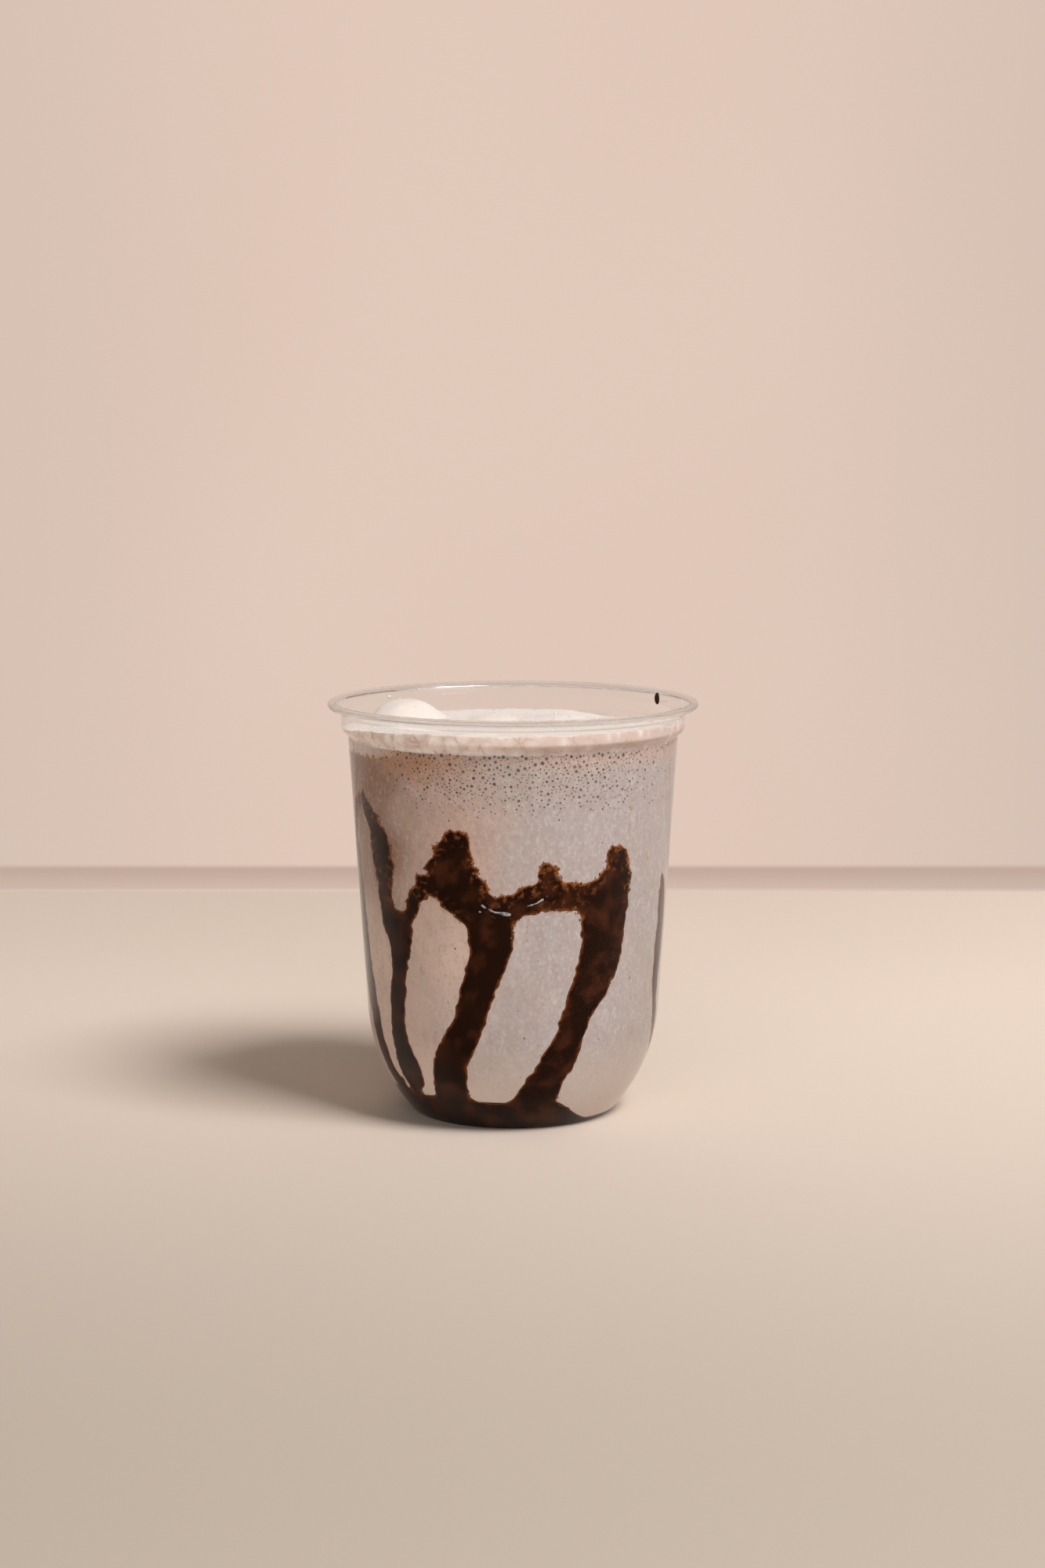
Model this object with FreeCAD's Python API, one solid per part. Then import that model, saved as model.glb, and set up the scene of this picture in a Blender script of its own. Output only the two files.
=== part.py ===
import FreeCAD, Part
import math
import os

# A milkshake in a clear plastic takeaway cup. The axis of the cup is Z and it stands on Z = 0.
# The front, with the chocolate syrup seen best, faces -Y.
# Lengths are in millimetres and angles in degrees.

# The cup
CUP_HEIGHT = 106.4       # from the table to the top of the rolled lip
LIP_DIAMETER = 95.0      # widest part of the rolled lip
WALL = 0.5               # sheet thickness, the same all over
LIP_OVERHANG = 3.4       # how far the lip stands out from the collar
CURL_RADIUS = 0.9        # outer radius of the rolled lip's round section
CURL_SWEEP = 300.0       # how far the sheet turns from upright, short of closing
FLARE_LEAN = 40.0        # lean of the short flare between the collar and the rolled lip
FLARE_BEND = 1.0         # radius of the bend from the collar into the flare, on the outside
COLLAR_DEPTH = 9.2       # from the top of the lip down to the foot of the shoulder
SHOULDER_STEP = 1.8      # how far the collar stands out from the body
SHOULDER_LEAN = 50.0     # lean of the shoulder from upright
SHOULDER_BEND = 1.5      # radius of the shoulder's two bends, on the outside
BODY_LEAN = 3.8          # lean of the body's straight wall from upright
HEEL_HEIGHT = 27.5       # where the straight wall meets the round heel
HEEL_RADIUS = 45.0       # the large round of the heel, on the outside
FOOT_ROUND = 2.0         # small round between the heel and the foot
FOOT_WIDTH = 3.5         # flat ring that the cup stands on
BASE_RISE = 0.6          # the middle of the base is this much higher than the foot

# What is in it
WALL_CLEARANCE = 0.2     # between the cup's inside and what fills it
SHAKE_BELOW_LIP = 9.0    # top of the milkshake, below the top of the lip
FOAM_BELOW_LIP = 7.4     # middle of the foam head, below the top of the lip
CREST_BELOW_LIP = 4.1    # where the foam climbs the cup most, below the top of the lip
CREST_WIDTH = 7.0        # width of the ring of foam that climbs the cup
CREST_DIRECTION = -75.0  # direction from +X in which the ring of foam is highest
CREST_FALL = (40.0, -25.0)  # the ring falls between these distances along that direction
CREST_LEAST = -0.3       # what is left of the ring there, above the middle of the foam
POOL_DEPTH = 7.0         # syrup over the base, on the deep side
POOL_FILM = 0.5          # syrup over the base, on the thin side
POOL_EDGE = 10.0         # how far right of the middle the deep part reaches
POOL_FALL = 9.0          # width over which the pool thins out
# Low mounds of froth: distance from the axis, direction from +X, width, height.
FROTH_MOUNDS = [
    (38.5, 133.5, 20.0, 4.6),
    (22.0, 104.0, 13.0, 1.0),
    (27.0, 62.0, 15.0, 0.8),
    (14.0, 230.0, 12.0, 0.9),
]

# Sizes that follow from the ones above
LEAN = math.radians(BODY_LEAN)
SLOPE = math.radians(SHOULDER_LEAN)
FLARE = math.radians(FLARE_LEAN)
COLLAR_RADIUS = LIP_DIAMETER / 2 - LIP_OVERHANG
NECK_RADIUS = COLLAR_RADIUS - SHOULDER_STEP
NECK_HEIGHT = CUP_HEIGHT - COLLAR_DEPTH
CURL_CENTRE = (LIP_DIAMETER / 2 - CURL_RADIUS, CUP_HEIGHT - CURL_RADIUS)
# The flare touches the bend below it and the curl above it, on the sheet's outside.
FLARE_STEP = CURL_RADIUS - WALL - FLARE_BEND
FLARE_REACH = CURL_CENTRE[0] - COLLAR_RADIUS - FLARE_BEND
FLARE_LENGTH = (FLARE_REACH - FLARE_STEP * math.cos(FLARE)) / math.sin(FLARE)
FLARE_CENTRE = (
    COLLAR_RADIUS + FLARE_BEND,
    CURL_CENTRE[1] + FLARE_STEP * math.sin(FLARE) - FLARE_LENGTH * math.cos(FLARE),
)
HEEL_TOP = (NECK_RADIUS - (NECK_HEIGHT - HEEL_HEIGHT) * math.tan(LEAN), HEEL_HEIGHT)
HEEL_CENTRE = (
    HEEL_TOP[0] - HEEL_RADIUS * math.cos(LEAN),
    HEEL_TOP[1] + HEEL_RADIUS * math.sin(LEAN),
)
FOOT_REACH = math.sqrt((HEEL_RADIUS - FOOT_ROUND) ** 2 - (HEEL_CENTRE[1] - FOOT_ROUND) ** 2)
FOOT_CENTRE = (HEEL_CENTRE[0] + FOOT_REACH, FOOT_ROUND)
PANEL_RADIUS = FOOT_CENTRE[0] - FOOT_WIDTH - BASE_RISE
SHAKE_LEVEL = CUP_HEIGHT - SHAKE_BELOW_LIP
FOAM_LEVEL = CUP_HEIGHT - FOAM_BELOW_LIP
CREST_LEVEL = CUP_HEIGHT - CREST_BELOW_LIP
FILL_INSET = WALL + WALL_CLEARANCE
REACH = LIP_DIAMETER     # larger than anything that is cut, to cut right through


def place(point):
    """A point of the cup's section, given as radius and height, as a vector."""
    return FreeCAD.Vector(point[0], 0, point[1])


def line(start, end):
    """A straight edge of the section."""
    return Part.LineSegment(place(start), place(end)).toShape()


def on_circle(centre, radius, angle):
    """The point of a circle at an angle from the outward direction."""
    turn = math.radians(angle)
    return (centre[0] + radius * math.cos(turn), centre[1] + radius * math.sin(turn))


def arc(centre, radius, start, end):
    """A round edge of the section, between two angles."""
    angles = (start, (start + end) / 2, end)
    points = [place(on_circle(centre, radius, angle)) for angle in angles]
    return Part.Arc(*points).toShape()


def turned(edges):
    """The solid that a closed section makes when it is turned about the cup's axis."""
    face = Part.Face(Part.Wire(Part.__sortEdges__(edges)))
    return face.revolve(FreeCAD.Vector(0, 0, 0), FreeCAD.Vector(0, 0, 1), 360)


def shoulder_bends():
    """The centres of the shoulder's lower and upper bend.

    The lower bend turns the wall from its lean to the shoulder's, the upper one from
    there to upright, and a straight piece between them makes up the rest of the step.
    """
    bends_step = SHOULDER_BEND * (math.cos(LEAN) + 1 - 2 * math.cos(SLOPE))
    straight = (SHOULDER_STEP - bends_step) / math.sin(SLOPE)
    low = (
        NECK_RADIUS + SHOULDER_BEND * math.cos(LEAN),
        NECK_HEIGHT - SHOULDER_BEND * math.sin(LEAN),
    )
    high = (
        COLLAR_RADIUS - SHOULDER_BEND,
        low[1] + 2 * SHOULDER_BEND * math.sin(SLOPE) + straight * math.cos(SLOPE),
    )
    return low, high


def base_edges(inset):
    """The base: raised middle, short slope and the flat ring of the foot."""
    shift = inset * math.tan(math.radians(22.5))
    middle = (0, BASE_RISE + inset)
    panel = (PANEL_RADIUS + shift, BASE_RISE + inset)
    foot_in = (PANEL_RADIUS + BASE_RISE + shift, inset)
    foot_out = (FOOT_CENTRE[0], inset)
    return [line(middle, panel), line(panel, foot_in), line(foot_in, foot_out)]


def side_edges(inset):
    """The side from the foot to the flare: rounds, straight wall, shoulder and collar."""
    low, high = shoulder_bends()
    meet = math.degrees(math.atan2(FOOT_CENTRE[1] - HEEL_CENTRE[1], FOOT_REACH))
    heel = HEEL_RADIUS - inset
    low_bend = SHOULDER_BEND + inset
    high_bend = SHOULDER_BEND - inset
    wall_foot = on_circle(HEEL_CENTRE, heel, -BODY_LEAN)
    wall_top = on_circle(low, low_bend, 180 - BODY_LEAN)
    slope_foot = on_circle(low, low_bend, 180 - SHOULDER_LEAN)
    slope_top = on_circle(high, high_bend, -SHOULDER_LEAN)
    collar_foot = on_circle(high, high_bend, 0)
    collar_top = (COLLAR_RADIUS - inset, FLARE_CENTRE[1])
    return [
        arc(FOOT_CENTRE, FOOT_ROUND - inset, -90, meet),
        arc(HEEL_CENTRE, heel, meet, -BODY_LEAN),
        line(wall_foot, wall_top),
        arc(low, low_bend, 180 - BODY_LEAN, 180 - SHOULDER_LEAN),
        line(slope_foot, slope_top),
        arc(high, high_bend, -SHOULDER_LEAN, 0),
        line(collar_foot, collar_top),
    ]


def lip_edges(inset):
    """The lip: the bend out of the collar, the flare, and the roll outwards and down."""
    start = 180 - FLARE_LEAN
    bend = FLARE_BEND + inset
    curl = CURL_RADIUS - WALL + inset
    flare = line(on_circle(FLARE_CENTRE, bend, start), on_circle(CURL_CENTRE, curl, start))
    return [
        arc(FLARE_CENTRE, bend, 180, start),
        flare,
        arc(CURL_CENTRE, curl, start, 180 - CURL_SWEEP),
    ]


def make_cup():
    """The cup: one sheet between its outside and its inside, turned about the axis."""
    outside = base_edges(0) + side_edges(0) + lip_edges(0)
    inside = base_edges(WALL) + side_edges(WALL) + lip_edges(WALL)
    end = 180 - CURL_SWEEP
    lip_end = line(
        on_circle(CURL_CENTRE, CURL_RADIUS - WALL, end),
        on_circle(CURL_CENTRE, CURL_RADIUS, end),
    )
    middle = line((0, BASE_RISE), (0, BASE_RISE + WALL))
    return turned(outside + [lip_end] + inside + [middle])


def make_fill():
    """The room inside the cup, clear of its wall, and straight up between the flare."""
    reach = COLLAR_RADIUS - FILL_INSET
    top = CURL_CENTRE[1]
    rise = line((reach, FLARE_CENTRE[1]), (reach, top))
    lid = line((0, top), (reach, top))
    middle = line((0, BASE_RISE + FILL_INSET), (0, top))
    return turned(base_edges(FILL_INSET) + side_edges(FILL_INSET) + [rise, lid, middle])


def slab(bottom, top):
    """A square block that reaches past the cup on all sides, between two heights."""
    corner = FreeCAD.Vector(-REACH, -REACH, bottom)
    return Part.makeBox(2 * REACH, 2 * REACH, top - bottom, corner)


def soft_step(start, end):
    """A curve that leaves one level, and reaches another, flat."""
    half = (end[0] - start[0]) / 2
    curve = Part.BezierCurve()
    poles = [start, (start[0] + half, start[1]), (end[0] - half, end[1]), end]
    curve.setPoles([place(pole) for pole in poles])
    return curve.toShape()


def make_pool(fill):
    """The syrup that has run down to the base: deep at the left, a film at the right."""
    base = BASE_RISE + FILL_INSET
    deep = base + POOL_DEPTH
    film = base + POOL_FILM
    below = -FILL_INSET
    shore = POOL_EDGE + POOL_FALL
    outline = [
        line((-REACH, deep), (POOL_EDGE, deep)),
        soft_step((POOL_EDGE, deep), (shore, film)),
        line((shore, film), (REACH, film)),
        line((REACH, film), (REACH, below)),
        line((REACH, below), (-REACH, below)),
        line((-REACH, below), (-REACH, deep)),
    ]
    face = Part.Face(Part.Wire(Part.__sortEdges__(outline)))
    face.translate(FreeCAD.Vector(0, -REACH, 0))
    return fill.common(face.extrude(FreeCAD.Vector(0, 2 * REACH, 0)))


def make_shake(fill, pool):
    """The milkshake: everything from the syrup up to the foam."""
    return fill.common(slab(-WALL, SHAKE_LEVEL)).cut(pool)


def make_mound(distance, direction, width, height):
    """A low round mound of froth, as the cap of a ball that is sunk in the foam.

    The ball's own axis lies level, so that its poles are out of the cap.
    """
    radius = (width ** 2 / 4 + height ** 2) / (2 * height)
    turn = math.radians(direction)
    centre = FreeCAD.Vector(
        distance * math.cos(turn),
        distance * math.sin(turn),
        FOAM_LEVEL + height - radius,
    )
    level_axis = FreeCAD.Vector(0, 1, 0)
    ball = Part.makeSphere(radius, centre, level_axis)
    return ball.common(slab(SHAKE_LEVEL, CUP_HEIGHT))


def make_crest():
    """The ring of foam that climbs the cup, high at the front and lost at the back."""
    edge = COLLAR_RADIUS
    shore = edge - CREST_WIDTH
    bottom = SHAKE_LEVEL
    ring = turned([
        line((shore, bottom), (shore, FOAM_LEVEL)),
        soft_step((shore, FOAM_LEVEL), (edge, CREST_LEVEL)),
        line((edge, CREST_LEVEL), (edge, bottom)),
        line((edge, bottom), (shore, bottom)),
    ])
    high, low = CREST_FALL
    least = FOAM_LEVEL + CREST_LEAST
    outline = [
        line((-REACH, least), (low, least)),
        soft_step((low, least), (high, CREST_LEVEL)),
        line((high, CREST_LEVEL), (REACH, CREST_LEVEL)),
        line((REACH, CREST_LEVEL), (REACH, bottom)),
        line((REACH, bottom), (-REACH, bottom)),
        line((-REACH, bottom), (-REACH, least)),
    ]
    face = Part.Face(Part.Wire(Part.__sortEdges__(outline)))
    face.translate(FreeCAD.Vector(0, -REACH, 0))
    room = face.extrude(FreeCAD.Vector(0, 2 * REACH, 0))
    room.rotate(FreeCAD.Vector(0, 0, 0), FreeCAD.Vector(0, 0, 1), CREST_DIRECTION)
    return ring.common(room)


def make_foam(fill):
    """The foam head: level in the middle, higher where it clings to the cup, and lumpy."""
    foam = fill.common(slab(SHAKE_LEVEL, FOAM_LEVEL))
    for lump in [make_crest()] + [make_mound(*mound) for mound in FROTH_MOUNDS]:
        foam = foam.fuse(fill.common(lump))
    return foam.removeSplitter()


def solid_of(shape):
    """The one solid that a shape holds."""
    assert len(shape.Solids) == 1, "expected one solid"
    return shape.Solids[0]


def main():
    os.makedirs("parts", exist_ok=True)
    fill = make_fill()
    pool = make_pool(fill)
    pieces = {
        "cup": make_cup(),
        "syrup_pool": pool,
        "milkshake": make_shake(fill, pool),
        "foam_head": make_foam(fill),
    }
    for name, shape in pieces.items():
        solid = solid_of(shape)
        solid.exportStep(os.path.join("parts", name + ".step"))
        box = solid.BoundBox
        print(name, "valid", solid.isValid(), "ml", round(solid.Volume / 1000, 2),
              "x", round(box.XMin, 2), round(box.XMax, 2), "y", round(box.YMin, 2),
              round(box.YMax, 2), "z", round(box.ZMin, 2), round(box.ZMax, 2))
    print("foot radius", round(FOOT_CENTRE[0], 2))


main()
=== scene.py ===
# %% [markdown]
# # A cookies and cream milkshake in its clear cup
# The real thing is a thin clear plastic cup, filled with a pale brown shake. A head of
# cream-coloured froth clings to the collar, chocolate syrup runs in thick loops down the
# inside of the wall into a pool at the base, and bubbles and fine crumbs show through the
# plastic. The packed CAD model gives the size and place of every piece. Its plain solids
# could be shown with better materials, but clear plastic shows every facet, and the ragged
# syrup and the uneven froth need their own outlines. So each piece is made again here as a
# finely meshed surface, worked out with numpy, and then gets its finish.

import math

import bmesh
import bpy
import numpy as np
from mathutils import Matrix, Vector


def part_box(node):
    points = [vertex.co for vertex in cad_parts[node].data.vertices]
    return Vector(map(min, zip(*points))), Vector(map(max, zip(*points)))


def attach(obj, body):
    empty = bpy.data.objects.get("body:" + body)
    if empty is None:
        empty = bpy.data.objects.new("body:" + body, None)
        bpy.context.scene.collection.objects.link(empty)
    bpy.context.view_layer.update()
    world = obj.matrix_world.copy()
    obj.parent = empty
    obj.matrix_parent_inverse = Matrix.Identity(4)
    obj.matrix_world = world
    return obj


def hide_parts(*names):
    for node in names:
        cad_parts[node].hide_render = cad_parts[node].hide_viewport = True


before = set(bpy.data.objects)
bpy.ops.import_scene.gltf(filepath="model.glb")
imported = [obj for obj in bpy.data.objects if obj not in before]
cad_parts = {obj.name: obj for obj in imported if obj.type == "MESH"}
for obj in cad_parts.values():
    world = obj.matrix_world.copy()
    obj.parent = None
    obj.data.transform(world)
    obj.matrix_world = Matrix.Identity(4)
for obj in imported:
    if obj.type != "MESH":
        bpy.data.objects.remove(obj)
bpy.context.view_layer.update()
MM = 0.001
_, cup_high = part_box("cup")
foam_low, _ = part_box("foam_head")
_, pool_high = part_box("syrup_pool")
print("nodes", sorted(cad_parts), "height in mm", round(cup_high.z / MM, 2))

# %% [markdown]
# ## The line of the wall
# A formed cup is one sheet of plastic turned about its axis, so its whole shape is one line
# in the plane of radius and height. The line could be a spline through chosen points, but a
# mould is cut from straight runs and round arcs, and so is this line. Moving every arc's
# radius in or out by the same amount gives the line of the sheet's other side, at a true
# distance, and also the lines that the drink, the syrup and the froth follow.

# %% Sizes of the cup, in millimetres and degrees
CUP_HEIGHT = round(cup_high.z / MM, 1)
LIP_RADIUS = round(cup_high.x / MM, 1)
WALL = 0.5
# The lip: how far it stands out past the collar, its roll's radius and how far it turns,
# and how far the flare under it leans.
LIP_OVERHANG = 3.4
CURL = 0.9
CURL_SWEEP = 300.0
FLARE_LEAN = 40.0
FLARE_BEND = 1.0
# The wide collar under the lip, and the shoulder where it steps in to the body.
COLLAR_DEPTH = 9.2
SHOULDER_STEP = 1.8
SHOULDER_LEAN = 50.0
SHOULDER_BEND = 1.5
# The body's lean, the round heel, the foot ring and the panel raised inside it.
BODY_LEAN = 3.8
HEEL_HEIGHT = 27.5
HEEL_ROUND = 45.0
FOOT_ROUND = 2.0
FOOT_WIDTH = 3.5
BASE_RISE = 0.6

lean = math.radians(BODY_LEAN)
slope = math.radians(SHOULDER_LEAN)
flare = math.radians(FLARE_LEAN)
collar = LIP_RADIUS - LIP_OVERHANG
neck = collar - SHOULDER_STEP
neck_height = CUP_HEIGHT - COLLAR_DEPTH
curl_centre = (LIP_RADIUS - CURL, CUP_HEIGHT - CURL)
flare_step = CURL - WALL - FLARE_BEND
flare_reach = curl_centre[0] - collar - FLARE_BEND
flare_length = (flare_reach - flare_step * math.cos(flare)) / math.sin(flare)
flare_foot = curl_centre[1] + flare_step * math.sin(flare) - flare_length * math.cos(flare)
heel_top = (neck - (neck_height - HEEL_HEIGHT) * math.tan(lean), HEEL_HEIGHT)
heel_centre = (
    heel_top[0] - HEEL_ROUND * math.cos(lean),
    heel_top[1] + HEEL_ROUND * math.sin(lean),
)
foot_reach = math.sqrt((HEEL_ROUND - FOOT_ROUND) ** 2 - (heel_centre[1] - FOOT_ROUND) ** 2)
foot_centre = (heel_centre[0] + foot_reach, FOOT_ROUND)
print("collar", round(collar, 2), "neck", round(neck, 2), "foot", round(foot_centre[0], 2))


# %% An arc, and the line of the base
PANEL_POINTS = 14
PANEL_SLOPE = 45.0


def arc(centre, radius, start, end, count):
    """Points at centre + radius * (cosine, sine) of angles spread evenly, in degrees."""
    turn = np.radians(np.linspace(start, end, count))
    return np.stack([centre[0] + radius * np.cos(turn), centre[1] + radius * np.sin(turn)], 1)


def base_line(inset):
    """The base from its middle outwards: raised panel, short slope and flat foot. Where
    two runs meet, the inset line's corner shifts by inset * tangent of half the angle."""
    shift = inset * math.tan(math.radians(PANEL_SLOPE / 2))
    panel = foot_centre[0] - FOOT_WIDTH - BASE_RISE + shift
    level = BASE_RISE + inset
    spokes = np.linspace(0, panel, PANEL_POINTS)
    flat = np.stack([spokes, np.full_like(spokes, level)], 1)
    return np.concatenate([flat, [[panel + BASE_RISE, inset]]])


print("base line", len(base_line(0)), "points")

# %% The lines of the side and the lip
HEEL_POINTS = 30
BODY_POINTS = 40
COLLAR_POINTS = 8
BEND_POINTS = 7
CURL_POINTS = 28


def side_line(inset):
    """The side from the foot up to the flare: foot, heel, body, shoulder and collar.
    Each arc ends in the direction of the next run, so that they meet smoothly."""
    meet = math.degrees(math.atan2(foot_centre[1] - heel_centre[1], foot_reach))
    step = SHOULDER_BEND * (math.cos(lean) + 1 - 2 * math.cos(slope))
    straight = (SHOULDER_STEP - step) / math.sin(slope)
    low = (neck + SHOULDER_BEND * math.cos(lean), neck_height - SHOULDER_BEND * math.sin(lean))
    rise = 2 * SHOULDER_BEND * math.sin(slope) + straight * math.cos(slope)
    high = (collar - SHOULDER_BEND, low[1] + rise)
    foot = arc(foot_centre, FOOT_ROUND - inset, -90, meet, BEND_POINTS)
    heel = arc(heel_centre, HEEL_ROUND - inset, meet, -BODY_LEAN, HEEL_POINTS)
    low_end = 180 - SHOULDER_LEAN
    low_bend = arc(low, SHOULDER_BEND + inset, 180 - BODY_LEAN, low_end, BEND_POINTS)
    high_bend = arc(high, SHOULDER_BEND - inset, -SHOULDER_LEAN, 0, BEND_POINTS)
    share = np.linspace(0, 1, BODY_POINTS)[1:-1, None]
    body = heel[-1] + (low_bend[0] - heel[-1]) * share
    share = np.linspace(0, 1, COLLAR_POINTS)[1:, None]
    collar_top = np.array([collar - inset, flare_foot])
    upright = high_bend[-1] + (collar_top - high_bend[-1]) * share
    return np.concatenate([foot, heel[1:], body, low_bend, high_bend, upright])


def lip_line(inset):
    """The lip: a bend out of the collar, a straight flare, and the roll out and down."""
    start, end = 180 - FLARE_LEAN, 180 - CURL_SWEEP
    bend_centre = (collar + FLARE_BEND, flare_foot)
    bend = arc(bend_centre, FLARE_BEND + inset, 180, start, BEND_POINTS + 1)
    curl = arc(curl_centre, CURL - WALL + inset, start, end, CURL_POINTS)
    return np.concatenate([bend[1:], curl])


print("side line", len(side_line(0)), "points, lip line", len(lip_line(0)), "points")

# %% The cup's inside, and how to read it
inner = side_line(WALL)
inner_run = np.concatenate([[0], np.cumsum(np.hypot(*np.diff(inner, axis=0).T))])


def wall_radius(height):
    """The radius of the cup's inside at a height, read off the inner line."""
    return np.interp(height, inner[:, 1], inner[:, 0])


def wall_point(run):
    """Radius and height on the inner line, a distance along it from the foot."""
    return np.interp(run, inner_run, inner[:, 0]), np.interp(run, inner_run, inner[:, 1])


def run_at(height):
    """How far along the inner line a height lies."""
    return np.interp(height, inner[:, 1], inner_run)


print("inner line", len(inner), "points,", round(float(inner_run[-1]), 1), "mm long")


# %% [markdown]
# ## From a grid of points to a mesh
# Every surface here is a grid of points: one way along a line, the other way round the axis.
# Blender's Screw modifier could turn a line too, but here the height may also change round
# the cup, so the points are worked out directly. The faces of a grid follow from its
# numbering, as whole arrays. Points that fall together, as at a pole, are merged, and a
# surface whose volume comes out negative is inside out, so it is turned round.

# %% Grids of points, and their faces
def all_round(columns):
    """Directions spread evenly round the axis, in radians."""
    return np.linspace(0, 2 * np.pi, columns, endpoint=False)


def around(radius, height, turn):
    """Points (radius * sin, -radius * cos, height): turn 0 is the front, 90 the right."""
    radius, height, turn = np.broadcast_arrays(radius, height, turn)
    return np.stack([radius * np.sin(turn), -radius * np.cos(turn), height], -1)


def grid_faces(rows, columns, closed=True):
    """The four corner numbers of each face of a grid; a closed grid joins its ends."""
    index = np.arange(rows * columns).reshape(rows, columns)
    beside = np.roll(index, -1, axis=1) if closed else index[:, 1:]
    index = index if closed else index[:, :-1]
    return np.stack([index[:-1], beside[:-1], beside[1:], index[1:]], -1).reshape(-1, 4)


def signed_volume(points, faces):
    """Six times the volume shut in by four-cornered faces, each taken as two triangles."""
    a, b, c, d = (points[faces[:, k]] for k in range(4))
    halves = np.cross(a, b) * c + np.cross(a, c) * d
    return float(halves.sum())


print("a grid of 3 by 4 points has", len(grid_faces(3, 4)), "faces when it is closed")

# %% From points to an object
MERGE_WITHIN = 0.0005


def build(name, points, faces, amounts=None, sharp=40.0):
    """An object from points in millimetres and faces, with a number per point for each
    entry of amounts. Points that fall together are merged, faces point outwards, and
    edges that turn by more than sharp degrees stay sharp."""
    points = np.asarray(points, float).reshape(-1, 3)
    faces = np.asarray(faces)
    if faces.shape[1] == 4 and signed_volume(points, faces) < 0:
        faces = faces[:, ::-1]
    mesh = bpy.data.meshes.new(name)
    mesh.vertices.add(len(points))
    mesh.vertices.foreach_set("co", (points * MM).ravel())
    mesh.loops.add(faces.size)
    mesh.loops.foreach_set("vertex_index", faces.ravel().astype(np.int32))
    mesh.polygons.add(len(faces))
    starts = np.arange(len(faces)) * faces.shape[1]
    mesh.polygons.foreach_set("loop_start", starts.astype(np.int32))
    mesh.update(calc_edges=True)
    for label, amount in (amounts or {}).items():
        layer = mesh.attributes.new(label, "FLOAT", "POINT")
        layer.data.foreach_set("value", np.asarray(amount, np.float32).ravel())
    work = bmesh.new()
    work.from_mesh(mesh)
    bmesh.ops.remove_doubles(work, verts=work.verts, dist=MERGE_WITHIN * MM)
    work.to_mesh(mesh)
    work.free()
    mesh.validate()
    mesh.shade_smooth()
    mesh.set_sharp_from_angle(angle=math.radians(sharp))
    piece = bpy.data.objects.new(name, mesh)
    bpy.context.scene.collection.objects.link(piece)
    print(name, len(mesh.polygons), "faces")
    return piece


print("points nearer than", MERGE_WITHIN, "mm are merged")

# %% [markdown]
# ## Unevenness
# Food is never quite regular. Blender's noise textures could push the points about, but a
# lattice of random numbers, blended smoothly between its corners, gives lumps of a chosen
# size at any point of an array at once, and the same ones on every run.

# %% Smooth random lumps
LATTICE_CELLS = 32


def lumps(points, size, seed):
    """Smooth random numbers from -1 to 1 that vary over about size millimetres.

    The eight corners of the lattice cell round each point are weighted by
    3t^2 - 2t^3 of how far into the cell it lies, along each direction."""
    lattice = np.random.default_rng(seed).uniform(-1, 1, (LATTICE_CELLS,) * 3)
    spot = np.asarray(points, float) / size
    corner = np.floor(spot).astype(int)
    t = spot - corner
    t = t * t * (3 - 2 * t)
    total = np.zeros(spot.shape[:-1])
    for step in np.ndindex(2, 2, 2):
        near = (corner + step) % LATTICE_CELLS
        weight = np.prod(np.where(np.array(step) == 1, t, 1 - t), axis=-1)
        total += weight * lattice[near[..., 0], near[..., 1], near[..., 2]]
    return total


def smooth_step(x, low, high):
    """0 below low, 1 above high, and 3t^2 - 2t^3 between them."""
    t = np.clip((x - low) / (high - low), 0, 1)
    return t * t * (3 - 2 * t)


print("lumps repeat after", LATTICE_CELLS, "times their size")

# %% [markdown]
# ## The cup
# The real cup is a thin clear sheet, open at the top, with its lip rolled outwards. A
# Solidify modifier could thicken one surface, but light that passes through clear plastic
# needs exact walls, also inside the roll. So the sheet's outside and inside are two lines of
# one family, joined at the end of the roll, and turned together they make one closed shell.

# %% Make the cup
CUP_COLUMNS = 288
outside = np.concatenate([base_line(0), side_line(0), lip_line(0)])
inside = np.concatenate([base_line(WALL), side_line(WALL), lip_line(WALL)])
sheet = np.concatenate([outside, inside[::-1]])
points = around(sheet[:, :1], sheet[:, 1:], all_round(CUP_COLUMNS)[None, :])
# 1 on the outermost line of the lip, 0 from a millimetre inside it.
outermost = np.clip(sheet[:, :1] - LIP_RADIUS + 1, 0, 1) + np.zeros(CUP_COLUMNS)
faces = grid_faces(len(sheet), CUP_COLUMNS)
cup = build("cup_shell", points, faces, {"edge": outermost}, sharp=50)
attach(cup, "root")
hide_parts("cup")

# %% [markdown]
# ## The syrup pool and the milkshake
# Syrup has gathered at the base, and the shake lies on it up to the froth. Cutting the two
# out of the cup's inside with a Boolean would leave them exactly on the plastic, where light
# shows gaps. A drink wets its wall, so their surfaces are rings that reach just into it. The
# top of the pool is deep on the left and thins to a film on the right, and the milkshake's
# underside is that same surface. Where the drink is stained is kept with its points.

# %% The top of the pool, and rings on the wall
MILK_REACH = 0.08
POOL_REACH = 0.12
POOL_EDGE = 10.0
POOL_FALL = 9.0
FILM_DEPTH = 0.7
SEARCH_TURNS = 40
SHAKE_LEVEL = foam_low.z / MM
pool_deep = pool_high.z / MM
pool_film = BASE_RISE + WALL + FILM_DEPTH


def pool_height(x):
    """The height of the pool's top: deep on the left, falling smoothly to a film."""
    return pool_deep + (pool_film - pool_deep) * smooth_step(x, POOL_EDGE, POOL_EDGE + POOL_FALL)


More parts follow.
